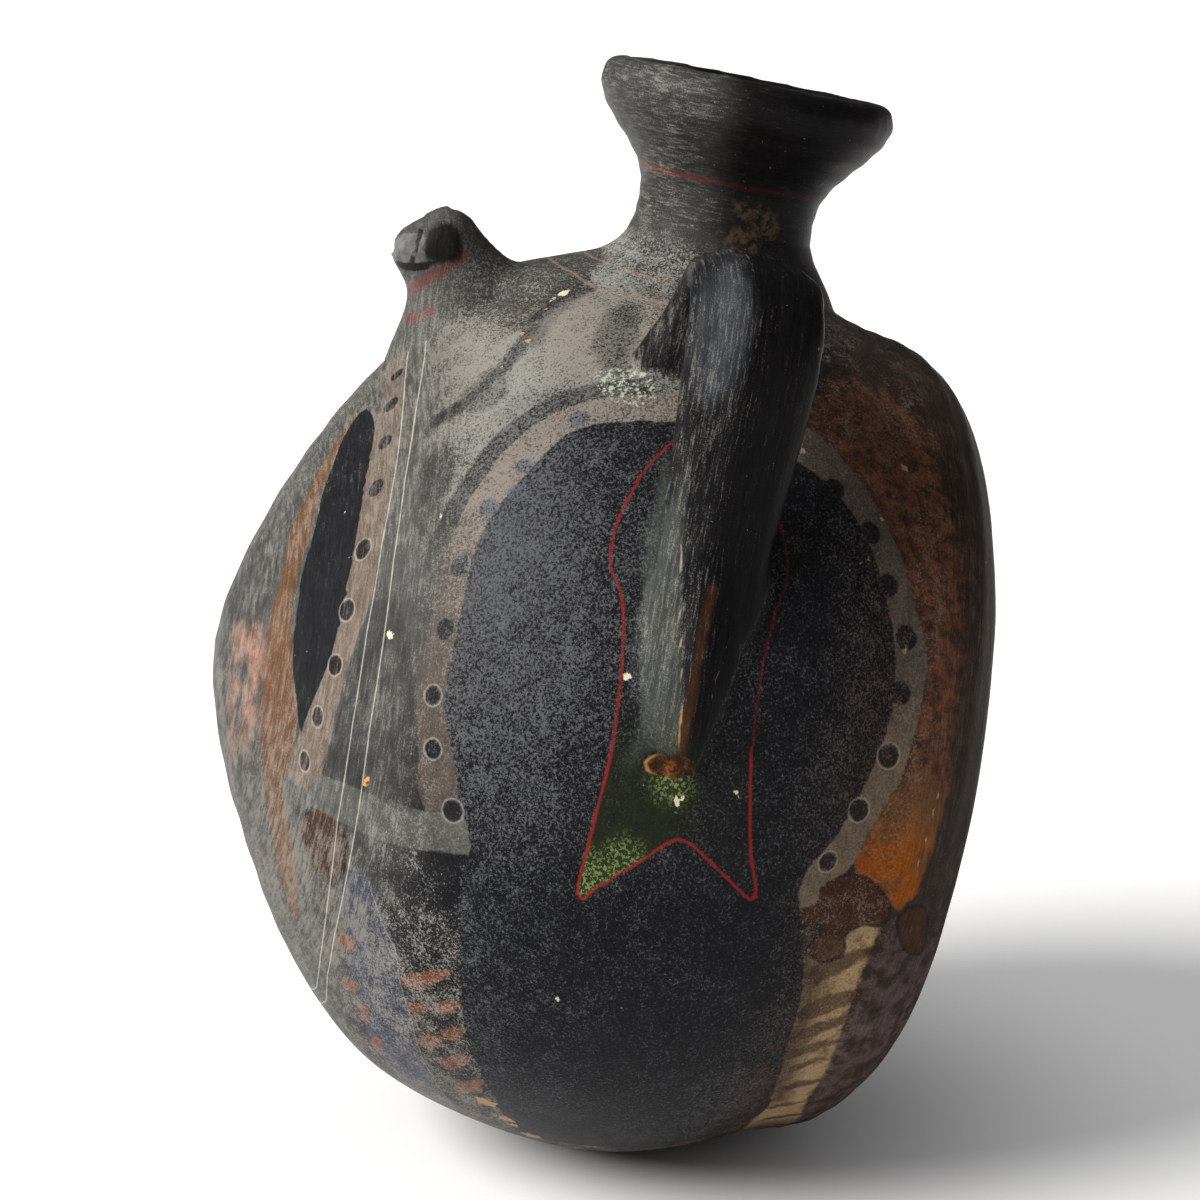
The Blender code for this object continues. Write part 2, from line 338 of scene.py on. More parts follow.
STRIP = (
    (-20, 42), (25, 39), (76, 37), (125, 35), (151, 34), (168, 32), (196, 30), (233, 29),
    (250, 24), (243, 22), (205, 24), (174, 27), (151, 28), (124, 29), (92, 30), (57, 32),
    (20, 35), (-20, 37),
)
BLACK_LEAF = (
    (30, 30), (57, 32), (92, 30), (124, 29), (151, 28), (174, 27), (205, 24), (222, 23),
    (205, 21), (189, 19), (167, 18), (144, 18), (126, 18), (95, 20), (73, 21), (54, 23), (36, 26),
)
AMBER_FRONT = (
    (20, 28), (42, 25), (66, 21), (95, 19), (126, 17), (157, 17), (189, 19), (222, 22),
    (262, 22), (300, 30), (327, 32), (312, 25), (285, 19), (255, 15), (222, 13), (189, 12),
    (153, 12), (127, 13), (99, 14), (71, 15), (45, 20),
)
FIRST_LINE = (
    (-205, 40), (-60, 41), (1, 41), (35, 39), (88, 37), (126, 35), (164, 34), (202, 34), (246, 35),
    (282, 37), (324, 40), (359, 43), (410, 44), (500, 40),
)
SECOND_LINE = (
    (-205, 44), (-60, 45), (24, 44), (64, 41), (100, 39), (135, 38), (168, 38), (202, 38), (233, 39),
    (271, 40), (300, 41), (330, 43), (357, 46), (410, 47), (500, 43),
)
SWALLOW_TAIL = (
    (92, 112), (99, 106), (106, 100), (110, 97), (116, 94), (124, 91), (132, 89), (141, 89),
    (148, 92), (156, 93.5), (170, 94.5), (190, 95), (210, 94), (232, 94), (225, 100), (218, 107),
    (210, 116), (216, 127), (224, 139), (211, 135), (197, 132), (180, 130), (162, 130),
    (154, 131), (147, 132), (141, 134), (134, 134), (126, 132), (112, 127), (99, 120),
)
RUST_REAR = (
    (97, 140), (106, 157), (122, 167), (136, 172), (152, 177), (170, 177), (186, 176),
    (190, 186), (165, 187), (140, 185), (114, 183), (90, 178), (72, 176), (62, 164), (68, 150),
    (82, 142),
)
AMBER_REAR = (
    (176, 175), (187, 173.5), (195, 170), (201, 168), (207, 166.5), (212, 165.5), (217, 168),
    (222, 177), (226, 181), (221, 185), (214, 186), (203, 187), (190, 188), (181, 187),
)
SCROLL = (
    (225, 151), (220, 152), (217, 157), (216, 163), (217, 170), (222, 176), (227, 179),
    (232, 178), (232, 172), (235, 168), (242, 169), (244, 163), (239, 158), (234, 160),
    (231, 159), (232, 155), (230, 152),
)
SECOND_SCROLL = ((231, 182), (226, 184), (226, 189), (233, 192), (243, 193), (241, 187))
TAN_REAR = (
    (232, 172), (231, 177), (246, 176), (262, 176), (277, 177), (293, 178), (310, 178),
    (324, 180), (345, 182), (372, 182), (384, 178), (372, 170), (340, 167), (313, 167), (299, 165),
    (275, 162), (258, 160), (240, 158), (236, 161), (235, 168),
)
SLATE_LEAF = (
    (263, 40), (259, 45), (268, 50), (278, 55), (289, 58), (301, 63), (318, 69), (336, 77),
    (354, 86), (380, 92), (372, 80), (352, 66), (336, 57), (318, 50), (300, 45), (282, 41),
)
DARK_PANEL = (
    (231, 29), (214, 30), (187, 31), (164, 33), (151, 35), (152, 39), (167, 44), (181, 46),
    (201, 49), (222, 53), (226, 45), (226, 40), (228, 35),
)
CURL = (
    (264, 27), (252, 29), (245, 32), (244, 34), (249, 37), (261, 39), (276, 37), (277, 31),
)
NOSE_BLUSH = ((150, 5), (200, 5), (250, 6), (300, 7), (310, 10), (250, 12), (200, 12), (160, 9))
PALE_EDGE = (
    (262, 46), (272, 51), (278, 55), (289, 58), (301, 63), (318, 69), (336, 77), (358, 88),
)
FRONT_SMEARS = (
    ((64, 60), (78, 62), (84, 58), (81, 53), (74, 50), (67, 54)),
    ((92, 48), (103, 50), (114, 48), (114, 43), (103, 42), (95, 44)),
)
SHOULDER_BLOTS = (
    ((56, 66), (37, 70), (24, 77), (23, 85), (34, 83), (46, 75), (60, 70)),
    ((78, 85), (61, 84), (47, 88), (44, 96), (61, 95), (79, 91)),
)
# Dots as (round, along, radius).
BAND_DOTS = (
    (94, 79, 2.6), (109, 66, 2.4), (118, 64.5, 2.6), (122, 58.5, 2.7), (141, 53, 3.0),
    (162, 51.5, 2.8), (184, 51, 2.5), (201, 53, 2.5), (218, 60, 2.9), (109, 147, 3.0),
    (119, 158, 3.2), (133, 164, 3.2), (147, 170, 3.4), (163, 170, 3.2), (181, 169, 3.2),
    (197, 163, 3.0), (212, 157, 2.7),
)
STRIP_DOTS = (
    (24, 37.5, 2.6), (47, 35.5, 2.8), (71, 34, 2.6), (96, 32.5, 2.8), (126, 31, 2.9),
    (154, 29, 2.8), (180, 28, 2.7), (207, 26, 2.6), (233, 25, 2.6),
)
# Brush strokes as (round, along) of both ends and the width.
REAR_FEATHERS = (
    ((251, 159), (241, 176), 5.5), ((264, 162), (256, 179), 6.0), ((274, 163), (266, 178), 4.2),
    ((282, 164), (277, 177), 3.8), ((291, 165), (286, 175), 3.0), ((304, 166), (299, 178), 3.6),
    ((317, 167), (315, 178), 2.6), ((331, 169), (328, 182), 2.8), ((346, 170), (341, 184), 3.0),
    ((361, 172), (356, 185), 2.8),
)
FRONT_FEATHERS = (
    ((300, 43), (290, 45), 3.4), ((322, 47), (311, 49), 3.2), ((330, 54), (318, 53), 2.6),
    ((344, 60), (331, 59), 3.0), ((289, 59), (273, 68), 3.4), ((299, 62), (291, 67), 2.8),
    ((291, 69), (282, 73), 2.8), ((314, 68), (303, 72), 3.4), ((301, 73), (293, 76), 3.0),
    ((318, 76), (305, 80), 3.8), ((330, 83), (316, 86), 3.8),
)
TAN_FLAKES = (
    (330, 90.5, 2.9), (339, 98, 2.4), (343, 101, 1.8), (350, 108, 3.0), (100, 137, 1.6),
    (114, 161, 0.9), (150, 170, 1.0), (127, 158, 0.8), (92, 169, 0.9),
)
RIM_DASHES = ((189, 185.3), (194, 185), (198, 184.7), (203, 184.6), (207, 184), (213, 183.5))
HANDLE_CRUST = ((77, 83), (76, 90), (81, 98), (90, 97), (90, 90), (85, 85))
CRESCENT = ((78, 46), (75, 53), (67, 60), (56, 66), (40, 72), (30, 84))
CREAM_FLAKES = (
    (30, 77.5, 1.7), (28, 80, 1.2), (33, 74.6, 1.0), (65, 60, 0.6), (16, 52.4, 0.5), (200, 113.6, 0.9),
    (202.4, 114, 0.8), (198, 112.8, 0.8), (204.4, 113.6, 0.5), (199, 115, 0.5), (312, 47.4, 0.9), (266, 96.2, 0.8), (268, 97.3, 0.5),
    (99, 26.2, 0.7), (84, 85.4, 0.8), (196, 127.8, 1.3), (165, 39.4, 1.5), (121, 47.5, 1.0),
    (170, 95.6, 1.4),
)
MOSS_SPOTS = ((196, 111.5, 5.0), (228, 98, 10.0), (219, 103, 6.0))
ORANGE_FLAKES = (
    (45, 70.3, 0.9), (55, 67.1, 1.3), (39, 72.4, 0.9), (50, 65.8, 0.9), (45, 74.5, 0.6),
    (8, 62.7, 0.9), (222, 39.4, 1.4), (86, 92, 0.8),
)
SCRATCHES = (
    ((238, 87.2), (239.5, 88.9), (239.5, 90.5), (238, 92)),
    ((140, 143.8), (132, 152), (124, 161)),
)
# Marks on the lug, neck and strap, as (millimetres behind the nose, millimetres over the axis).
LUG_BREAK = (
    (29, 116.5), (30, 121), (33, 124), (38.4, 125.6), (39.3, 124), (38.7, 122), (40.2, 119.8),
    (40.4, 118.4), (36.5, 117.2), (33, 116),
)
LUG_FISSURE = ((38.1, 126.5), (37.2, 122), (36.7, 116.8))
LUG_LEDGE = ((33, 116.6), (35.4, 116.7), (39.1, 117.8), (43, 119.2), (42.6, 117.2), (39, 115.3), (34.6, 114.6))
LUG_SHADE = (
    (39.4, 121), (40, 126.4), (43, 129.4), (47, 129.6), (49.5, 126), (50, 121), (46, 119), (41.5, 119),
)
LUG_RED = ((38.3, 110), (42.9, 114.6), (47.1, 118.6), (50.9, 121.8))
LUG_RED_LOW = ((39, 101), (41.7, 103.3), (45, 105.7))
NECK_STAIN = (
    (121, 150), (128.3, 150.5), (134, 147.5), (133, 141), (127, 136), (120, 138), (121, 141.5), (124, 145.6),
)
# Painted shade: a dark line along the strap's crease.
STRAP_CREASE_SHADE = ((111.5, 142), (111, 132.3), (112.3, 120.4), (112.2, 108))
STRAP_EDGE = ((103.4, 70), (104.2, 65.3), (106.2, 50.7), (108.6, 36.3), (110, 26), (110.6, 17.7))
STRAP_RUST = ((112.8, 60), (112.2, 50), (111.8, 40), (111.6, 28), (111.4, 19))
STRAP_CURVE = ((119.5, 51), (118.8, 44), (117.3, 38), (116.8, 32))
STRAP_FLANK = (
    (101.5, 88), (102.4, 79), (103.4, 70), (104.2, 65.3), (106.2, 50.7), (108.6, 36.3), (110, 26),
    (110.6, 17.7), (104, 16.5), (100.5, 10.5), (98.5, 12), (101, 22), (99, 36), (97.4, 52), (97.2, 68),
    (98.8, 76),
)
# The strap's painted highlight: a bluish grey patch on its upper front facet.
STRAP_PAINTED_HIGHLIGHT = ((101, 136), (100, 126), (100, 114), (103, 106), (108, 112), (110.2, 124), (109.6, 134), (106, 139))
STRAP_STUB = ((103.6, 12.4), (106, 15.6), (110.6, 17), (114.6, 16), (115.6, 13), (112, 11.2), (107, 10.8))
NECK_RED_RISE = 155.1
BASE_LINES = (37.5, 47.6)
FAR = -60.0
FAR_LIFT = 60.0


def curve_through(points, closed, step=0.4):
    """A smooth run of (round, along) points through the given ones."""
    given = np.array(points, dtype=float)
    if closed:
        given = np.vstack((given[-1:], given, given[:2]))
    else:
        given = np.vstack((2 * given[0] - given[1], given, 2 * given[-1] - given[-2]))
    runs = []
    for before, start, end, after in zip(given[:-3], given[1:-2], given[2:-1], given[3:]):
        count = max(2, int(np.linalg.norm(end - start) / step))
        t = np.linspace(0.0, 1.0, count, endpoint=False)[:, None]
        runs.append(
            0.5
            * (
                2 * start
                + (end - before) * t
                + (2 * before - 5 * start + 4 * end - after) * t ** 2
                + (3 * start - before - 3 * end + after) * t ** 3
            )
        )
    if not closed:
        runs.append(given[-2:-1])
    return np.vstack(runs)


class Canvas:
    """The outer skin laid out as (round, along), to measure painted shapes on."""

    def __init__(self, mesh, outline):
        self.mesh = mesh
        self.outline = outline
        self.points = mesh_points(mesh)
        self.sideways, self.station, self.height = flask_frame(self.points)
        self.proud = over_drum(outline, self.points) / MM
        self.around = np.arctan2(self.sideways, self.height) * GIRTH_RADIUS / MM
        self.along = self.station / MM
        self.rise = self.height / MM
        turns = np.linspace(0.0, pi, 2000)
        reach = outline_reach(outline, turns)
        order = np.argsort(DRUM_MIDDLE + reach * np.cos(turns))
        self.known_station = (DRUM_MIDDLE + reach * np.cos(turns))[order]
        self.known_radius = (reach * np.sin(turns))[order]

    def on_drum(self, chart):
        """Row points of (round, along) pairs."""
        angle = chart[:, 0] * MM / GIRTH_RADIUS
        station = chart[:, 1] * MM
        radius = np.interp(station, self.known_station, self.known_radius)
        return row_frame(radius * np.sin(angle), station, radius * np.cos(angle))

    def nearest(self, curve, chosen):
        """Distance in millimetres from the chosen vertices to a run of points, and which one."""
        line = self.on_drum(curve)
        gaps = np.empty(len(chosen))
        which = np.empty(len(chosen), dtype=int)
        for start in range(0, len(chosen), 2000):
            part = chosen[start:start + 2000]
            squares = (
                (self.points[part] ** 2).sum(1)[:, None]
                - 2 * self.points[part] @ line.T
                + (line ** 2).sum(1)
            )
            which[start:start + 2000] = squares.argmin(1)
            gaps[start:start + 2000] = np.sqrt(np.maximum(squares.min(1), 0.0)) / MM
        return gaps, which

    def mirrored(self, both_sides):
        return np.abs(self.around) if both_sides else self.around

    def area(self, outlines, both_sides=True, margin=14.0, lift=1.6):
        """Signed distance in millimetres to closed outlines, more than 0 inside."""
        best = np.full(len(self.points), FAR)
        around = self.mirrored(both_sides)
        for points in outlines:
            curve = curve_through(points, True)
            low, high = curve.min(0) - margin, curve.max(0) + margin
            chosen = np.flatnonzero(
                (around > low[0]) & (around < high[0]) & (self.along > low[1]) & (self.along < high[1])
            )
            gaps = self.gaps_on_side(curve, chosen, around)
            inside = within(around[chosen], self.along[chosen], curve[::3])
            best[chosen] = np.maximum(best[chosen], np.where(inside, gaps, -gaps))
        return np.minimum(best, lift - self.proud)

    def gaps_on_side(self, curve, chosen, around):
        """Distances, with the far side's vertices measured to the mirrored curve."""
        gaps = np.empty(len(chosen))
        near = self.around[chosen] == around[chosen]
        gaps[near] = self.nearest(curve, chosen[near])[0]
        if (~near).any():
            gaps[~near] = self.nearest(curve * (-1.0, 1.0), chosen[~near])[0]
        return gaps

    def line(self, points, both_sides=False, margin=8.0):
        """Signed distance in millimetres to an open line, more than 0 behind it."""
        best = np.full(len(self.points), FAR)
        around = self.mirrored(both_sides)
        curve = curve_through(points, False)
        low, high = curve.min(0) - margin, curve.max(0) + margin
        chosen = np.flatnonzero(
            (around > low[0]) & (around < high[0]) & (self.along > low[1]) & (self.along < high[1])
        )
        gaps, which = self.nearest(curve, chosen)
        ahead = curve[np.minimum(which + 1, len(curve) - 1)] - curve[np.maximum(which - 1, 0)]
        offset = np.column_stack((around[chosen], self.along[chosen])) - curve[which]
        side = ahead[:, 0] * offset[:, 1] - ahead[:, 1] * offset[:, 0]
        best[chosen] = np.where(side > 0, gaps, -gaps)
        return best

    def ring(self, points):
        """Signed distance in millimetres to a line that runs round the whole drum."""
        place = np.array(points, dtype=float)
        wanted = np.interp(np.abs(self.around), place[:, 0], place[:, 1])
        slope = np.interp(self.along * MM, self.known_station, np.gradient(self.known_radius))
        run = np.interp(self.along * MM, self.known_station, np.gradient(self.known_station))
        stretch = np.hypot(1.0, slope / np.maximum(run, 1e-9))
        return np.where(self.proud < 1.6, (self.along - wanted) * stretch, FAR)

    def dots(self, places, both_sides=True):
        """Signed distance in millimetres to round dots, more than 0 inside."""
        best = np.full(len(self.points), FAR)
        chart = np.array(places, dtype=float)
        for mirror in ((1.0, -1.0) if both_sides else (1.0,)):
            centres = self.on_drum(chart[:, :2] * (mirror, 1.0))
            for centre, radius in zip(centres, chart[:, 2]):
                best = np.maximum(best, radius - np.linalg.norm(self.points - centre, axis=1) / MM)
        return best

    def strokes(self, runs, both_sides=True):
        """Signed distance in millimetres to brush strokes, thick in the middle."""
        best = np.full(len(self.points), FAR)
        around = self.mirrored(both_sides)
        place = np.column_stack((around, self.along))
        for start, end, width in runs:
            start, end = np.array(start, dtype=float), np.array(end, dtype=float)
            way = end - start
            share = np.clip((place - start) @ way / (way @ way), 0.0, 1.0)
            gap = np.linalg.norm(place - start - share[:, None] * way, axis=1)
            best = np.maximum(best, width * (0.30 + 0.35 * np.sin(pi * share ** 0.7)) - gap)
        return np.minimum(best, 1.6 - self.proud)

    def near_flat(self, curve, chosen, margin=6.0):
        """Chosen vertices close to a run of (station, rise) points, with places and distances."""
        places = np.column_stack((self.along, self.rise))
        low, high = curve.min(0) - margin, curve.max(0) + margin
        near = np.flatnonzero(chosen & (places > low).all(1) & (places < high).all(1))
        squares = ((places[near][:, None, :] - curve[None, :, :]) ** 2).sum(2)
        return near, places[near], np.sqrt(squares.min(1))

    def flat_area(self, outline, chosen):
        """Signed distance in millimetres to an outline in (station, rise), more than 0 inside."""
        best = np.full(len(self.points), FAR)
        curve = curve_through(outline, True)
        near, places, gaps = self.near_flat(curve, chosen)
        inside = within(places[:, 0], places[:, 1], curve[::2])
        best[near] = np.where(inside, gaps, -gaps)
        return best

    def flat_strokes(self, runs, chosen):
        """How far inside lines in (station, rise) of given half widths, in millimetres."""
        best = np.full(len(self.points), FAR)
        for points, half_width in runs:
            near, places, gaps = self.near_flat(curve_through(points, False), chosen)
            best[near] = np.maximum(best[near], half_width - gaps)
        return best

    def lines(self, runs, half_width):
        """How far inside open lines on the drum, in millimetres."""
        best = np.full(len(self.points), FAR)
        chosen = np.flatnonzero(self.proud < 1.6)
        for points in runs:
            curve = curve_through(points, False)
            centre = self.on_drum(curve.mean(0)[None, :])[0]
            reach = np.abs(self.on_drum(curve) - centre).max() * 2.0 + 0.006
            near = chosen[np.linalg.norm(self.points[chosen] - centre, axis=1) < reach]
            gaps, _ = self.nearest(curve, near)
            best[near] = np.maximum(best[near], half_width - gaps)
        return best

    def keep(self, name, values):
        layer = self.mesh.attributes.new(name, "FLOAT", "POINT")
        layer.data.foreach_set("value", values.astype(np.float32))


def within(around, along, curve):
    """Which places lie inside a closed run of points."""
    inside = np.zeros(len(around), dtype=bool)
    for (x0, y0), (x1, y1) in zip(curve, np.roll(curve, -1, axis=0)):
        if y0 == y1:
            continue
        crosses = (y0 > along) != (y1 > along)
        inside ^= crosses & (around < (x1 - x0) * (along - y0) / (y1 - y0) + x0)
    return inside


def lay_out_paint(mesh, outline):
    """Keeps every painted shape on the skin as a distance in millimetres."""
    canvas = Canvas(mesh, outline)
    canvas.keep("field", canvas.area((FIELD,)))
    canvas.keep("band", canvas.area((BAND,)))
    canvas.keep("level_band", canvas.area((LEVEL_BAND,)))
    canvas.keep("strip", canvas.area((STRIP,)))
    canvas.keep("black_leaf", canvas.area((BLACK_LEAF,)))
    canvas.keep("amber_front", canvas.area((AMBER_FRONT,)))
    canvas.keep("first_line", canvas.ring(FIRST_LINE))
    canvas.keep("second_line", canvas.ring(SECOND_LINE))
    canvas.keep("tail", canvas.area((SWALLOW_TAIL,), both_sides=False, lift=FAR_LIFT))
    canvas.keep("rust_rear", canvas.area((RUST_REAR,)))
    canvas.keep("amber_rear", canvas.area((AMBER_REAR,)))
    canvas.keep("scrolls", canvas.area((SCROLL, SECOND_SCROLL)))
    canvas.keep("tan_rear", canvas.area((TAN_REAR,)))
    canvas.keep("rear_feathers", canvas.strokes(REAR_FEATHERS))
    canvas.keep("front_feathers", canvas.strokes(FRONT_FEATHERS))
    canvas.keep("slate_leaf", canvas.area((SLATE_LEAF,)))
    canvas.keep("dark_panel", canvas.area((DARK_PANEL,)))
    canvas.keep("curl", canvas.area((CURL,)))
    canvas.keep("nose_blush", canvas.area((NOSE_BLUSH,)))
    canvas.keep("pale_edge", canvas.line(PALE_EDGE))
    canvas.keep("smears", canvas.area(FRONT_SMEARS + SHOULDER_BLOTS, both_sides=False))
    canvas.keep("band_dots", canvas.dots(BAND_DOTS))
    canvas.keep("strip_dots", canvas.dots(STRIP_DOTS))
    canvas.keep("tan_flakes", canvas.dots(TAN_FLAKES, both_sides=False))
    canvas.keep("cream_flakes", canvas.dots(CREAM_FLAKES, both_sides=False))
    canvas.keep("moss_spots", canvas.dots(MOSS_SPOTS, both_sides=False))
    canvas.keep("orange_flakes", canvas.dots(ORANGE_FLAKES, both_sides=False))
    canvas.keep("crust", canvas.area((HANDLE_CRUST,), both_sides=False, lift=5.0))
    canvas.keep("crescent", canvas.lines((CRESCENT,), 2.6))
    canvas.keep("rim_dashes", canvas.lines((RIM_DASHES,), 0.35))
    canvas.keep("scratches", canvas.lines(SCRATCHES, 0.3))
    sideways, station, height = canvas.sideways, canvas.station, canvas.height
    neck = neck_share(sideways, station, height)
    strap = strap_share(sideways, station, height, canvas.proud * MM)
    lug = lug_share(sideways, station, height, canvas.proud * MM)
    near_side = sideways > 0.0
    on_lug = near_side & (lug > 0.0)
    on_strap = sideways > 0.090
    canvas.keep("lug_break", canvas.flat_area(LUG_BREAK, on_lug))
    canvas.keep("lug_cracks", np.maximum(
        canvas.flat_strokes(((LUG_FISSURE, 0.6),), on_lug), canvas.flat_area(LUG_LEDGE, on_lug),
    ))
    canvas.keep("lug_shade", canvas.flat_area(LUG_SHADE, on_lug))
    canvas.keep("lug_red", canvas.flat_strokes(((LUG_RED, 1.5), (LUG_RED_LOW, 1.0)), on_lug))
    canvas.keep("neck_stain", canvas.flat_area(NECK_STAIN, near_side & (neck > 0.0)))
    canvas.keep("strap_crease_shade", canvas.flat_strokes(((STRAP_CREASE_SHADE, 0.5),), on_strap))
    canvas.keep("strap_edge", canvas.flat_strokes(((STRAP_EDGE, 0.28),), on_strap))
    canvas.keep("strap_rust", canvas.flat_strokes(((STRAP_RUST, 0.9),), on_strap))
    canvas.keep("strap_curve", canvas.flat_strokes(((STRAP_CURVE, 0.22),), on_strap))
    canvas.keep("strap_flank", canvas.flat_area(STRAP_FLANK, on_strap))
    canvas.keep("strap_painted_highlight", canvas.flat_area(STRAP_PAINTED_HIGHLIGHT, (sideways > 0.092) & (canvas.proud > 8.0)))
    canvas.keep("strap_stub", canvas.flat_area(STRAP_STUB, on_strap))
    canvas.keep("neck", neck)
    canvas.keep("strap", strap)
    canvas.keep("lug", lug)
    canvas.keep("around", canvas.around)
    canvas.keep("along", canvas.along)
    canvas.keep("rise", canvas.rise)
    canvas.keep("from_neck", np.hypot(sideways, station - NECK_STATION) / MM)
    canvas.keep("proud", canvas.proud)
    canvas.keep("hollow", inner_side(canvas.points, None, outline).astype(float))


class Tree:
    """Short forms for laying out a shader's nodes."""

    def __init__(self, tree):
        self.tree = tree

    def node(self, kind, **settings):
        made = self.tree.nodes.new(kind)
        for name, value in settings.items():
            setattr(made, name, value)
        return made

    def feed(self, socket, value):
        if isinstance(value, bpy.types.NodeSocket):
            self.tree.links.new(value, socket)
        elif value is not None:
            socket.default_value = value

    def math(self, operation, first, second=None, third=None, clamp=False):
        made = self.node("ShaderNodeMath", operation=operation, use_clamp=clamp)
        for socket, value in zip(made.inputs, (first, second, third)):
            self.feed(socket, value)
        return made.outputs[0]

    def ramp(self, value, start, end, low=0.0, high=1.0):
        made = self.node("ShaderNodeMapRange", interpolation_type="SMOOTHSTEP")
        for socket, given in zip(made.inputs, (value, start, end, low, high)):
            self.feed(socket, given)
        return made.outputs[0]

    def blend(self, share, first, second, kind="MIX"):
        made = self.node("ShaderNodeMix", data_type="RGBA", blend_type=kind)
        self.feed(made.inputs[0], share)
        self.feed(made.inputs[6], first)
        self.feed(made.inputs[7], second)
        return made.outputs[2]

    def times(self, first, second):
        return self.math("MULTIPLY", first, second)

    def plus(self, first, second, clamp=False):
        return self.math("ADD", first, second, clamp=clamp)

    def less(self, first, second):
        return self.math("SUBTRACT", first, second)

    def most(self, first, *others):
        for other in others:
            first = self.math("MAXIMUM", first, other)
        return first

    def between(self, share, first, second):
        made = self.node("ShaderNodeMix", data_type="FLOAT")
        for socket, value in zip((made.inputs[0], made.inputs[2], made.inputs[3]), (share, first, second)):
            self.feed(socket, value)
        return made.outputs[0]

    def grey(self, value):
        made = self.node("ShaderNodeCombineColor")
        for socket in made.inputs:
            self.feed(socket, value)
        return made.outputs[0]

    def value(self, name):
        return self.node("ShaderNodeAttribute", attribute_name=name).outputs["Fac"]

    def noise(self, where, scale, detail=3.0, roughness=0.6, distortion=0.0):
        made = self.node("ShaderNodeTexNoise")
        self.feed(made.inputs["Vector"], where)
        made.inputs["Scale"].default_value = scale
        made.inputs["Detail"].default_value = detail
        made.inputs["Roughness"].default_value = roughness
        made.inputs["Distortion"].default_value = distortion
        return made.outputs["Fac"]

    def cells(self, where, scale, feature="F1"):
        made = self.node("ShaderNodeTexVoronoi", feature=feature)
        self.feed(made.inputs["Vector"], where)
        made.inputs["Scale"].default_value = scale
        return made

    def mapped(self, where, place=(0, 0, 0), turn=(0, 0, 0), scale=(1, 1, 1)):
        made = self.node("ShaderNodeMapping")
        self.feed(made.inputs["Vector"], where)
        made.inputs["Location"].default_value = place
        made.inputs["Rotation"].default_value = turn
        made.inputs["Scale"].default_value = scale
        return made.outputs[0]


def group_of(name, inputs, outputs):
    """An empty shader node group with its sockets, its tree helper, inlet and outlet."""
    tree = bpy.data.node_groups.new(name, "ShaderNodeTree")
    kinds = {"value": "NodeSocketFloat", "colour": "NodeSocketColor", "place": "NodeSocketVector"}
    for socket, (kind, default) in inputs.items():
        made = tree.interface.new_socket(socket, in_out="INPUT", socket_type=kinds[kind])
        if default is not None:
            made.default_value = default
    for socket, kind in outputs.items():
        tree.interface.new_socket(socket, in_out="OUTPUT", socket_type=kinds[kind])
    inlet = tree.nodes.new("NodeGroupInput")
    outlet = tree.nodes.new("NodeGroupOutput")
    return Tree(tree), inlet.outputs, outlet.inputs


def grain_group():
    """Slip rubbed down to the clay: how bare each spot is, for a given wear from 0 to 1."""
    tree, given, out = group_of(
        "Rubbed slip",
        {
            "Place": ("place", None), "Streak Place": ("place", None), "Streak": ("value", 0.0),
            "Wear": ("value", 0.5), "Patches": ("value", 0.5),
        },
        {"Bare": "value", "Tone": "value", "Height": "value"},
    )
    coarse = tree.noise(given["Place"], 1250, 3.0, 0.7, 0.3)
    fine = tree.noise(given["Place"], 2900, 2.0, 0.6)
    lines = tree.noise(given["Streak Place"], 1450, 4.0, 0.75)
    speck = tree.math("ADD", tree.math("MULTIPLY", coarse, 0.48), tree.math("MULTIPLY", fine, 0.27))
    speck = tree.math("ADD", speck, tree.math("MULTIPLY", given["Patches"], 0.25))
    ruled = tree.math("ADD", tree.math("MULTIPLY", lines, 0.55), tree.math("MULTIPLY", fine, 0.25))
    ruled = tree.math("ADD", ruled, tree.math("MULTIPLY", given["Patches"], 0.20))
    both = tree.node("ShaderNodeMix", data_type="FLOAT")
    tree.feed(both.inputs[0], given["Streak"])
    tree.feed(both.inputs[2], speck)
    tree.feed(both.inputs[3], ruled)
    level = tree.ramp(both.outputs[0], 0.34, 0.66)
    limit = tree.math("SUBTRACT", 1.0, given["Wear"])
    tree.feed(out["Bare"], tree.ramp(tree.math("SUBTRACT", level, limit), -0.22, 0.34))
    tree.feed(out["Tone"], level)
    tree.feed(out["Height"], both.outputs[0])
    return tree.tree


def fleck_group():
    """Sparse irregular specks."""
    tree, given, out = group_of(
        "Specks",
        {"Place": ("place", None), "Fineness": ("value", 300.0), "Share": ("value", 0.1)},
        {"Mask": "value"},
    )
    noise = tree.node("ShaderNodeTexNoise")
    tree.feed(noise.inputs["Vector"], given["Place"])
    tree.feed(noise.inputs["Scale"], given["Fineness"])
    noise.inputs["Detail"].default_value = 3.0
    noise.inputs["Roughness"].default_value = 0.75
    limit = tree.math("SUBTRACT", 0.78, given["Share"])
    tree.feed(out["Mask"], tree.ramp(tree.math("SUBTRACT", noise.outputs["Fac"], limit), 0.0, 0.025))
    return tree.tree


def edge_group():
    """A painted shape's mask from its distance, with a ragged edge."""
    tree, given, out = group_of(
        "Painted edge",
        {
            "Distance": ("value", 0.0), "Ragged Noise": ("value", 0.5),
            "Raggedness": ("value", 1.0), "Softness": ("value", 0.3),
        },
        {"Mask": "value"},
    )
    shift = tree.math("MULTIPLY", tree.math("SUBTRACT", given["Ragged Noise"], 0.5), given["Raggedness"])
    place = tree.math("ADD", given["Distance"], shift)
    low = tree.math("MULTIPLY", given["Softness"], -1.0)
    tree.feed(out["Mask"], tree.ramp(place, low, given["Softness"]))
    return tree.tree


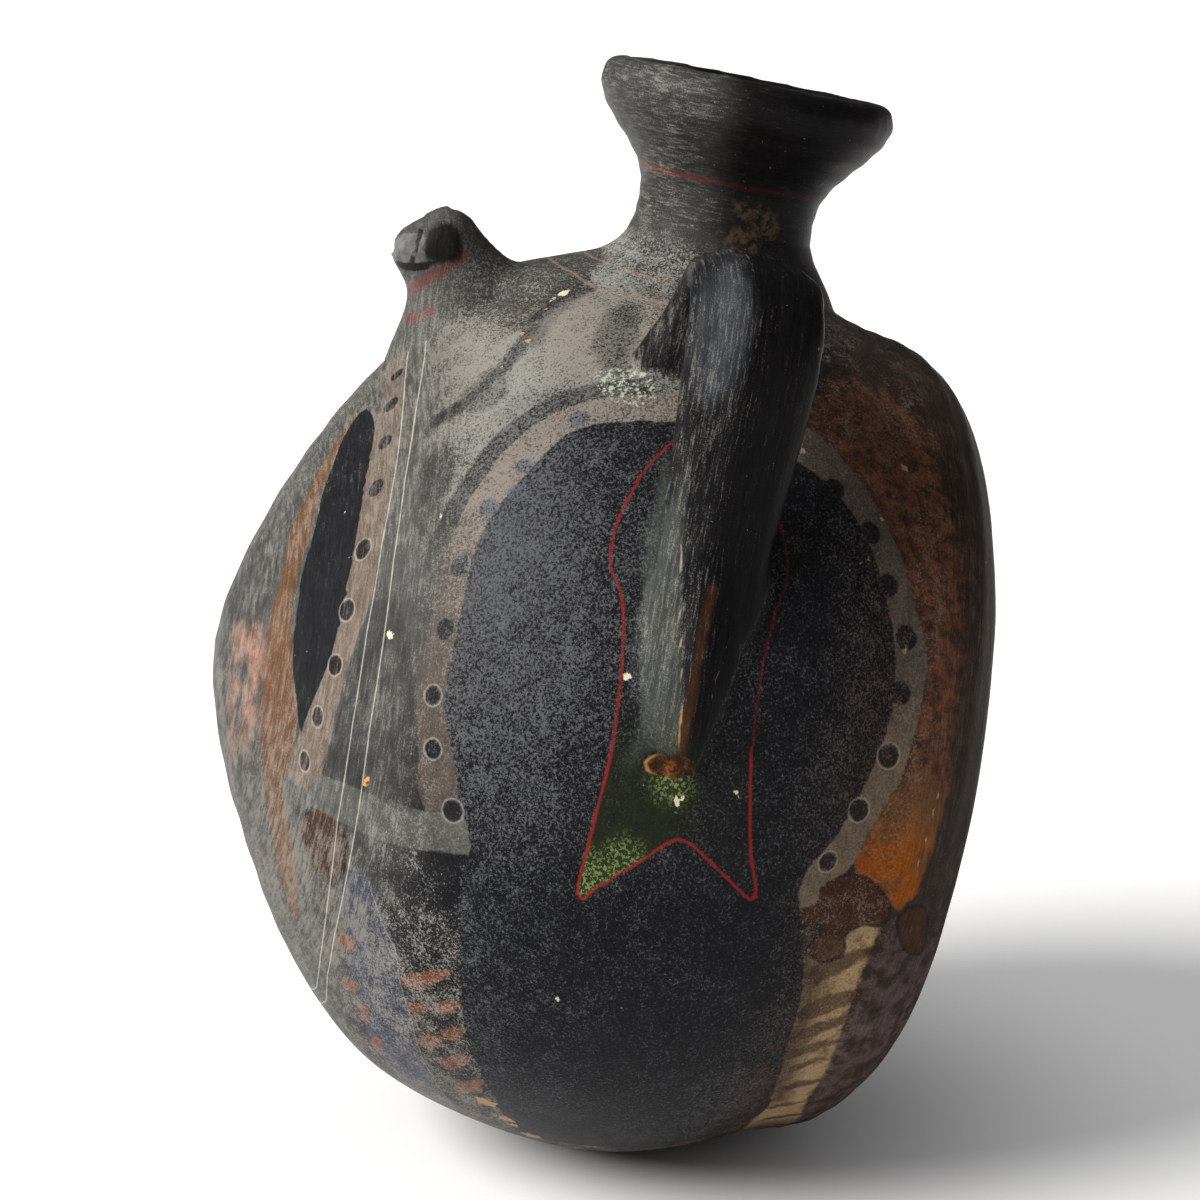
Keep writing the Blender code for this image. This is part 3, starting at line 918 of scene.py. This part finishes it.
class PaintedClay(Tree):
    """The flask's painted finish, built up layer by layer."""

    def __init__(self, name, groups):
        self.material = bpy.data.materials.new(name)
        self.material.use_nodes = True
        super().__init__(self.material.node_tree)
        self.groups = groups
        self.shader = self.tree.nodes["Principled BSDF"]
        self.where = self.node("ShaderNodeTexCoord").outputs["Object"]
        self.leaned = self.mapped(self.where, turn=(LEAN, 0, 0))
        self.ragged = self.noise(self.where, 330, 4.0, 0.7)
        self.broad = self.noise(self.where, 22, 4.0, 0.55)
        self.patchy = self.noise(self.where, 75, 4.0, 0.6)
        self.mid = self.noise(self.where, 190, 4.0, 0.65)
        self.nicks = self.noise(self.where, 520, 3.0, 0.6)
        self.turned = self.mapped(self.where, place=(0.3, 0.1, 0.7), turn=(0.6, 0.9, 0.3))
        parts = self.node("ShaderNodeSeparateXYZ")
        self.feed(parts.inputs[0], self.where)
        self.turned_side = self.math("SUBTRACT", parts.outputs[1], 0.036)

    def use(self, group, **inputs):
        made = self.node("ShaderNodeGroup", node_tree=self.groups[group])
        for name, value in inputs.items():
            self.feed(made.inputs[name.replace("_", " ").title()], value)
        return made.outputs

    def mask(self, distance, raggedness=1.0, softness=0.25, noise=None):
        if isinstance(distance, str):
            distance = self.value(distance)
        return self.use(
            "edge", distance=distance, ragged_noise=noise or self.ragged, raggedness=raggedness,
            softness=softness,
        )["Mask"]

    def stroke(self, distance, width, raggedness=0.4, softness=0.15):
        """A thin line where the signed distance is near zero."""
        if isinstance(distance, str):
            distance = self.value(distance)
        inner = self.math("SUBTRACT", width / 2, self.math("ABSOLUTE", distance))
        return self.mask(inner, raggedness, softness)

    def worn(self, mask, cover, noise=None):
        """The mask with part of it rubbed away."""
        noise = self.patchy if noise is None else noise
        kept = self.ramp(noise, 0.5 - cover * 0.5 - 0.12, 0.5 - cover * 0.5 + 0.12)
        return self.math("MULTIPLY", mask, kept)


def linear(red, green, blue):
    """Linear colour of an sRGB one given from 0 to 255."""
    channels = []
    for channel in (red, green, blue):
        share = channel / 255
        channels.append(share / 12.92 if share <= 0.04045 else ((share + 0.055) / 1.055) ** 2.4)
    return (*channels, 1.0)


SLIP = linear(24, 25, 28)
FIELD_SLIP = linear(22, 23, 26)
BARE = linear(150, 150, 143)
BARE_PINK = linear(146, 139, 130)
BAND_CLAY = linear(84, 76, 70)
STRIP_CLAY = linear(112, 98, 87)
LEVEL_CLAY = linear(88, 88, 84)
RUST = linear(116, 72, 52)
AMBER = linear(112, 76, 48)
BRIGHT_AMBER = linear(142, 72, 4)
SCROLL_BROWN = linear(64, 38, 24)
TAN = linear(168, 140, 104)
FEATHER_BROWN = linear(64, 44, 34)
FEATHER_RUST = linear(116, 70, 50)
LEAF_BLACK = linear(24, 25, 28)
SLATE = linear(64, 70, 84)
PALE_LINE = linear(214, 212, 194)
RED_LINE = linear(140, 34, 32)
TAIL_GREEN = linear(30, 35, 20)
MOSS = linear(150, 164, 104)
BLUSH = linear(196, 138, 112)
CREAM = linear(226, 216, 184)
ORANGE = linear(214, 150, 76)
BREAK_CLAY = linear(122, 122, 120)
FLANK_GREY = linear(84, 88, 82)
BLACK = linear(16, 15, 15)


def painted_clay(groups):
    coat = PaintedClay("painted clay", groups)
    around, along, rise = coat.value("around"), coat.value("along"), coat.value("rise")
    neck, strap, lug = coat.value("neck"), coat.value("strap"), coat.value("lug")
    times, plus, less = coat.times, coat.plus, coat.less
    streak_q = coat.mapped(coat.leaned, scale=(0.09, 1.0, 0.09))
    streak_w = coat.mapped(coat.leaned, scale=(0.14, 0.14, 1.0))
    pick = coat.node("ShaderNodeMix", data_type="VECTOR")
    coat.feed(pick.inputs[0], neck)
    coat.feed(pick.inputs[4], streak_q)
    coat.feed(pick.inputs[5], streak_w)

    # Where the slip is rubbed: the shoulder and front most, the low rear and the strap least. The extra rubbing at the
    # very bottom and on the front sides of the neck and strap is painted light.
    front = coat.ramp(along, 60.0, 38.0)
    rear = coat.ramp(along, 174.0, 186.0)
    field = coat.mask("field", 1.6, 0.4)
    upper = coat.ramp(rise, -10.0, 100.0)
    forward = coat.ramp(along, 165.0, 60.0)
    low_front = times(coat.ramp(rise, 10.0, -60.0), coat.ramp(along, 112.0, 80.0))
    wear = plus(0.10, plus(times(times(upper, forward), 0.72), times(low_front, 0.26)))
    in_field = plus(0.22, times(coat.ramp(along, 122.0, 58.0), plus(0.20, times(coat.ramp(rise, -70.0, 60.0), 0.16))))
    wear = coat.between(field, wear, in_field)
    wear = coat.between(times(front, 0.8), wear, coat.ramp(rise, 40.0, -60.0, 0.34, 0.54))
    wear = plus(wear, times(coat.ramp(along, 138.0, 160.0), 0.16))
    # Painted light: the very bottom is made lighter, as if more rubbed, to stand for light bounced up from the floor.
    wear = plus(wear, times(coat.ramp(rise, -96.0, -124.0), 0.20))
    wear = coat.between(rear, wear, 0.20)
    wear = plus(wear, times(coat.mask("black_leaf", 1.0, 0.3), -0.34))
    dark_arc = times(coat.mask(plus(coat.value("band"), 6.2), 1.6, 0.8), coat.ramp(around, 150.0, 112.0))
    dark_arc = times(dark_arc, times(coat.ramp(along, 104.0, 92.0), less(1.0, coat.mask("band", 1.6, 0.5))))
    smeared = coat.worn(coat.mask("smears", 4.0, 1.8), 0.6)
    shade = coat.most(dark_arc, coat.mask("crescent", 2.6, 1.2), times(smeared, 0.65))
    outer = times(coat.ramp(coat.value("band"), -16.0, -8.0), coat.ramp(around, 112.0, 84.0))
    shade = coat.most(shade, times(times(outer, coat.ramp(along, 92.0, 66.0)), 0.35))
    shade = coat.most(shade, times(coat.worn(coat.mask("dark_panel", 1.2, 0.5), 0.8), 0.45))
    wear = plus(wear, times(shade, -0.20))
    # Painted light and shade: the neck is rubbed lighter on its front side, which faces the light, and hardly at all on
    # its rear side; the strap likewise is rubbed lighter at its front than at its rear.
    side = coat.ramp(coat.turned_side, 0.002, -0.022)
    wear = coat.between(neck, wear, plus(-0.04, times(side, 0.40)))
    wear = coat.between(strap, wear, coat.ramp(along, 106.0, 122.0, 0.27, -0.04))
    wear = coat.between(coat.ramp(coat.value("strap_flank"), -0.6, 0.8), wear, 0.30)
    wear = coat.between(lug, wear, 0.30)
    uneven = plus(times(less(coat.broad, 0.5), 0.9), times(less(coat.patchy, 0.5), 0.55))
    calm = coat.most(times(field, 0.45), times(strap, 0.5), times(times(upper, forward), 0.45))
    wear = plus(wear, times(uneven, less(1.0, calm)), clamp=True)
    streak = coat.most(front, rear, neck, strap)
    grain = coat.use("grain", place=coat.where, streak_place=pick.outputs[1], streak=times(streak, 0.8), wear=wear, patches=coat.between(calm, coat.mid, 0.5))

    colour = coat.blend(coat.ramp(coat.patchy, 0.35, 0.65), SLIP, linear(38, 36, 36))
    bare = coat.blend(coat.ramp(coat.broad, 0.42, 0.62), BARE, BARE_PINK)

    def layer(colour, mask, paint, share=1.0):
        return coat.blend(times(mask, share), colour, paint)

    # Paints, from the ground up.
    earth = linear(58, 44, 36)
    rear_earth = times(coat.ramp(along, 138.0, 166.0), coat.ramp(coat.ragged, 0.36, 0.6, 0.55, 1.0))
    colour = layer(colour, rear_earth, earth, 0.85)
    colour = layer(colour, times(front, coat.ramp(coat.patchy, 0.35, 0.65, 0.5, 0.9)), linear(92, 91, 88), 0.85)
    colour = layer(colour, times(coat.ramp(rise, -40.0, -75.0), coat.ramp(along, 118.0, 140.0)), earth, 0.4)
    colour = layer(colour, times(times(upper, forward), less(1.0, strap)), linear(90, 89, 85), 0.55)
    rust = times(coat.mask("rust_rear", 9.0, 5.0), coat.ramp(coat.ragged, 0.30, 0.66, 0.15, 1.0))
    colour = layer(colour, rust, RUST, 0.88)
    blush = times(coat.ramp(coat.value("nose_blush"), -7.0, 3.0), coat.ramp(coat.patchy, 0.34, 0.62))
    colour = layer(colour, times(blush, coat.ramp(coat.ragged, 0.34, 0.62, 0.4, 1.0)), BLUSH, 0.5)
    colour = layer(colour, coat.worn(coat.mask("amber_front", 2.6, 1.0), 0.75, coat.mid), AMBER, 0.7)
    colour = layer(colour, coat.mask("black_leaf", 1.0, 0.3), LEAF_BLACK, 0.95)
    colour = layer(colour, coat.mask("slate_leaf", 1.6, 0.5), SLATE, 0.8)
    colour = layer(colour, coat.worn(coat.mask("curl", 2.0, 0.6), 0.6), SCROLL_BROWN, 0.8)
    colour = layer(colour, coat.stroke("curl", 1.6, 1.2, 0.3), LEAF_BLACK, 0.8)
    colour = layer(colour, coat.worn(coat.mask("front_feathers", 2.8, 0.6), 0.75), FEATHER_RUST, 0.85)
    tan = coat.blend(coat.ramp(around, 345.0, 325.0), linear(84, 74, 62), TAN)
    mauve = times(coat.ramp(rise, -10.0, -40.0), coat.ramp(along, 172.0, 178.0))
    colour = layer(colour, times(mauve, coat.ramp(coat.mid, 0.38, 0.6)), linear(88, 74, 74), 0.7)
    colour = layer(colour, coat.mask("tan_rear", 3.6, 1.0), linear(70, 50, 36), 0.85)
    tanned = times(coat.ramp(coat.mid, 0.30, 0.5, 0.45, 1.0), coat.ramp(coat.value("field"), -2.0, -9.0, 0.15, 1.0))
    tanned = coat.most(tanned, coat.ramp(around, 306.0, 322.0))
    colour = layer(colour, times(coat.mask("tan_rear", 3.6, 1.0), tanned), tan, 0.85)
    colour = layer(colour, coat.mask("rear_feathers", 3.4, 0.9), FEATHER_BROWN, 0.78)
    colour = layer(colour, times(coat.mask("amber_rear", 3.0, 1.0), coat.ramp(around, 180.0, 196.0)), AMBER, 0.85)
    bright = times(coat.mask("amber_rear", 3.0, 1.2), coat.ramp(around, 194.0, 212.0))
    colour = layer(colour, times(bright, coat.ramp(coat.mid, 0.36, 0.5)), BRIGHT_AMBER, 0.95)
    colour = layer(colour, coat.mask("scrolls", 1.4, 0.4), SCROLL_BROWN, 0.9)
    colour = layer(colour, coat.stroke("scrolls", 1.0, 1.0, 0.3), LEAF_BLACK, 0.7)
    band_clay = coat.blend(times(coat.ramp(around, 150.0, 190.0), coat.ramp(along, 140.0, 155.0)), BAND_CLAY, linear(112, 98, 82))
    colour = layer(colour, coat.worn(coat.mask("band", 1.6, 0.5), 0.85), band_clay, 0.9)
    colour = layer(colour, coat.mask("level_band", 1.2, 0.4), LEVEL_CLAY, 0.85)
    colour = layer(colour, coat.mask("strip", 1.0, 0.3), STRIP_CLAY, 0.88)
    colour = layer(colour, field, FIELD_SLIP, 0.97)
    colour = layer(colour, shade, SLIP, 0.66)
    dots = coat.most(coat.mask("strip_dots", 1.2, 0.3), coat.mask("band_dots", 1.4, 0.4))
    colour = layer(colour, dots, LEAF_BLACK, 0.92)
    bare = coat.blend(times(shade, 0.7), bare, linear(84, 86, 88))
    band_only = times(coat.mask("band", 1.6, 0.5), less(1.0, field))
    bare = coat.blend(times(band_only, 0.8), bare, linear(134, 124, 116))
    bare = coat.blend(coat.most(field, dots), bare, linear(110, 112, 116))
    bare = coat.blend(times(rear_earth, 0.8), bare, linear(112, 76, 56))
    bare = coat.blend(times(front, 0.6), bare, linear(128, 123, 115))
    bare = coat.blend(times(rear, 0.7), bare, linear(98, 86, 64))

    # Painted shade: the rear half of the strap and the rear side of the neck, which face away from the light, are
    # darkened towards black.
    away = coat.most(times(strap, coat.ramp(along, 106.0, 114.0)), times(neck, coat.ramp(coat.turned_side, -0.014, -0.002)))
    colour = layer(colour, away, BLACK, 0.85)
    # Painted highlight: a bluish grey patch on the strap's upper front facet.
    colour = layer(colour, coat.mask("strap_painted_highlight", 3.0, 4.0), linear(104, 112, 120), 0.30)
    colour = layer(colour, coat.mask("strap_flank", 2.4, 1.4), FLANK_GREY, 0.6)
    tone = coat.ramp(grain["Tone"], 0.0, 1.0, 0.62, 1.35)
    colour = coat.blend(1.0, colour, coat.grey(tone), "MULTIPLY")
    colour = layer(colour, grain["Bare"], bare, coat.between(coat.most(front, neck, strap, field), 0.85, 0.58))

    # Marks that lie over the rubbed paint.
    outline = times(coat.stroke(plus(coat.value("strip_dots"), 0.4), 0.5, 0.9, 0.2), coat.ramp(around, 100.0, 130.0))
    band_outline = coat.stroke(plus(coat.value("band_dots"), 0.4), 0.45, 0.9, 0.2)
    outline = coat.most(outline, times(band_outline, coat.ramp(around, 165.0, 185.0)))
    colour = layer(colour, coat.worn(outline, 0.45, coat.nicks), PALE_LINE, 0.2)
    pale = coat.most(coat.stroke("first_line", 0.42, 0.5), coat.stroke("second_line", 0.42, 0.5))
    pale = coat.most(pale, times(coat.stroke("pale_edge", 0.4, 0.5), 0.35), coat.mask("rim_dashes", 0.6, 0.2))
    pale = coat.most(pale, coat.mask("strap_curve", 0.2, 0.15), coat.mask("scratches", 0.3, 0.15))
    colour = layer(colour, coat.worn(pale, 0.56, coat.mid), PALE_LINE, 0.44)
    green = times(coat.mask("tail", 0.8, 0.5), coat.ramp(around, 172.0, 200.0))
    green = times(green, coat.ramp(along, 122.0, 110.0, 0.22, 1.0))
    colour = layer(colour, times(green, coat.ramp(coat.mid, 0.30, 0.5, 0.35, 1.0)), TAIL_GREEN, 0.9)
    colour = layer(colour, times(green, coat.mask("moss_spots", 6.0, 4.0)), linear(52, 68, 32), 0.4)
    moss = coat.use("fleck", place=coat.where, fineness=1100.0, share=0.26)["Mask"]
    moss = times(moss, coat.mask("moss_spots", 7.0, 3.5))
    colour = layer(colour, times(coat.mask("tail", 0.8, 0.5), moss), MOSS, 0.5)
    bases = coat.most(*(coat.stroke(less(coat.value("from_neck"), radius), 0.8, 0.8, 0.3) for radius in BASE_LINES))
    bases = times(times(bases, coat.ramp(along, 112.0, 98.0)), coat.ramp(coat.value("proud"), 30.0, 20.0))
    colour = layer(colour, coat.worn(bases, 0.6, coat.mid), linear(170, 134, 120), 0.42)
    red = coat.most(coat.stroke("tail", 0.75, 1.0, 0.3), times(coat.mask("lug_red", 3.4, 1.0), 0.42))
    neck_red = times(coat.stroke(less(rise, NECK_RED_RISE), 1.5, 1.0, 0.5), neck)
    red = coat.most(red, times(neck_red, 0.42))
    faded = coat.most(coat.ramp(around, 176.0, 190.0), coat.ramp(along, 118.0, 108.0, 0.25, 0.8))
    colour = layer(colour, times(coat.worn(red, 0.72, coat.mid), faded), RED_LINE, 0.85)
    # Painted shade: a dark line along the strap's crease, between its lit facet and its shaded facet.
    colour = layer(colour, coat.mask("strap_crease_shade", 0.5, 0.4), BLACK, 0.6)
    colour = layer(colour, coat.mask("strap_edge", 0.4, 0.25), coat.blend(coat.ramp(rise, 44.0, 26.0), linear(190, 170, 160), ORANGE), 0.7)
    colour = layer(colour, coat.mask("strap_rust", 1.6, 1.2), linear(86, 50, 28), 0.55)
    stub = coat.mask("strap_stub", 5.0, 0.3, coat.nicks)
    colour = layer(colour, stub, coat.blend(coat.ramp(coat.ragged, 0.46, 0.68), linear(44, 24, 12), linear(118, 68, 30)), 0.95)
    rim = times(coat.stroke("strap_stub", 0.6, 0.8, 0.3), coat.ramp(along, 108.0, 104.0))
    colour = layer(colour, rim, linear(196, 150, 96), 0.55)
    colour = layer(colour, coat.mask("lug_shade", 2.0, 1.0), BLACK, 0.88)
    colour = layer(colour, coat.mask("lug_break", 0.8, 0.2), coat.blend(coat.ramp(coat.mid, 0.35, 0.65), linear(84, 84, 82), BREAK_CLAY), 0.9)
    colour = layer(colour, coat.mask("lug_cracks", 0.8, 0.25), BLACK, 0.85)
    stain = times(coat.mask("neck_stain", 6.0, 2.0), coat.ramp(coat.ragged, 0.42, 0.60))
    colour = layer(colour, stain, linear(104, 80, 58), 0.5)
    crust = times(coat.mask("crust", 3.0, 0.6), coat.use("fleck", place=coat.where, fineness=640.0, share=0.25)["Mask"])
    colour = layer(colour, crust, linear(190, 200, 178), 0.7)
    colour = layer(colour, coat.mask("tan_flakes", 6.0, 0.3, coat.nicks), TAN, 0.9)
    chips = plus(coat.value("orange_flakes"), -0.25)
    colour = layer(colour, coat.mask(chips, 4.0, 0.2, coat.nicks), ORANGE, 0.9)
    chips = plus(coat.value("cream_flakes"), -0.3)
    colour = layer(colour, coat.mask(chips, 4.5, 0.2, coat.nicks), CREAM, 0.85)
    colour = layer(colour, coat.use("fleck", place=coat.where, fineness=420.0, share=0.035)["Mask"], CREAM, 0.5)
    colour = layer(colour, coat.use("fleck", place=coat.turned, fineness=500.0, share=0.07)["Mask"], bare, 0.7)
    # Painted shade: the inside of the hollow, seen only through the mouth, is darkened almost to black.
    colour = layer(colour, coat.value("hollow"), LEAF_BLACK, 0.8)

    coat.shader.inputs["Specular IOR Level"].default_value = 0.07
    coat.feed(coat.shader.inputs["Base Color"], colour)
    rough = coat.ramp(grain["Bare"], 0.0, 1.0, 0.40, 0.66)
    coat.feed(coat.shader.inputs["Roughness"], plus(rough, times(coat.most(strap, neck), -0.06)))
    bump = coat.node("ShaderNodeBump")
    bump.inputs["Strength"].default_value = 0.6
    bump.inputs["Distance"].default_value = 0.0005
    coat.feed(bump.inputs["Height"], grain["Height"])
    coat.feed(coat.shader.inputs["Normal"], bump.outputs[0])
    return coat.material


def floor_material():
    """White paper that glows a little for the camera, a painted light that lifts the floor and its cast shadow; the
    glow fades out under the flask, a painted contact shadow.
    """
    material = bpy.data.materials.new("pale floor")
    material.use_nodes = True
    tree = Tree(material.node_tree)
    shader = material.node_tree.nodes["Principled BSDF"]
    where = tree.node("ShaderNodeTexCoord").outputs["Object"]
    cloud = tree.noise(where, 3.0, 2.0, 0.5)
    tree.feed(shader.inputs["Base Color"], tree.blend(cloud, (0.88, 0.88, 0.88, 1), (0.9, 0.9, 0.9, 1)))
    shader.inputs["Roughness"].default_value = 0.9
    away = tree.node("ShaderNodeVectorMath", operation="LENGTH")
    tree.feed(away.inputs[0], where)
    glow_and_contact_shadow = tree.ramp(away.outputs["Value"], 0.02, 0.20, 0.0, FLOOR_GLOW)
    seen = tree.node("ShaderNodeLightPath").outputs["Is Camera Ray"]
    tree.feed(shader.inputs["Emission Strength"], tree.times(glow_and_contact_shadow, seen))
    shader.inputs["Emission Color"].default_value = (1.0, 1.0, 1.0, 1.0)
    return material


def add_floor():
    bpy.ops.mesh.primitive_plane_add(size=60.0, location=(0, 0, 0))
    floor = bpy.context.object
    floor.name = "floor"
    floor.data.materials.append(floor_material())


def add_camera():
    camera = bpy.data.objects.new("camera", bpy.data.cameras.new("camera"))
    bpy.context.scene.collection.objects.link(camera)
    towards = Vector((
        sin(VIEW_AZIMUTH) * cos(VIEW_ELEVATION),
        -cos(VIEW_AZIMUTH) * cos(VIEW_ELEVATION),
        sin(VIEW_ELEVATION),
    ))
    camera.location = VIEW_TARGET + towards * VIEW_DISTANCE
    camera.rotation_euler = towards.to_track_quat("Z", "Y").to_euler()
    camera.data.lens = LENS_MM
    camera.data.sensor_width = 36.0
    bpy.context.scene.camera = camera


def add_sun(name, towards, strength, spread, colour):
    light = bpy.data.lights.new(name, "SUN")
    light.energy = strength
    light.angle = radians(spread)
    light.color = colour
    lamp = bpy.data.objects.new(name, light)
    lamp.rotation_euler = Vector(towards).to_track_quat("Z", "Y").to_euler()
    bpy.context.scene.collection.objects.link(lamp)


def add_lights():
    add_sun("soft key", KEY_TOWARDS, KEY_STRENGTH, KEY_SPREAD, (1.0, 0.99, 0.97))
    world = bpy.data.worlds.new("studio")
    world.use_nodes = True
    tree = Tree(world.node_tree)
    background = world.node_tree.nodes["Background"]
    seen = tree.node("ShaderNodeLightPath").outputs["Is Camera Ray"]
    tree.feed(background.inputs["Strength"], tree.ramp(seen, 0.0, 1.0, FILL_STRENGTH, 1.0))
    background.inputs["Color"].default_value = (1.0, 1.0, 1.0, 1.0)
    bpy.context.scene.world = world


def build():
    add_camera()
    groups = {"grain": grain_group(), "fleck": fleck_group(), "edge": edge_group()}
    mesh, outline = clay_skin()
    lay_out_paint(mesh, outline)
    mesh.shade_smooth()
    mesh.name = "clay"
    mesh.materials.clear()
    mesh.materials.append(painted_clay(groups))
    piece = bpy.data.objects.new("painted_flask", mesh)
    bpy.context.scene.collection.objects.link(piece)
    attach(piece, "root")
    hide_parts("flask")
    print("triangles", sum(len(face.vertices) - 2 for face in mesh.polygons))
    add_floor()
    add_lights()
    bpy.context.scene.view_settings.view_transform = "Standard"


build()
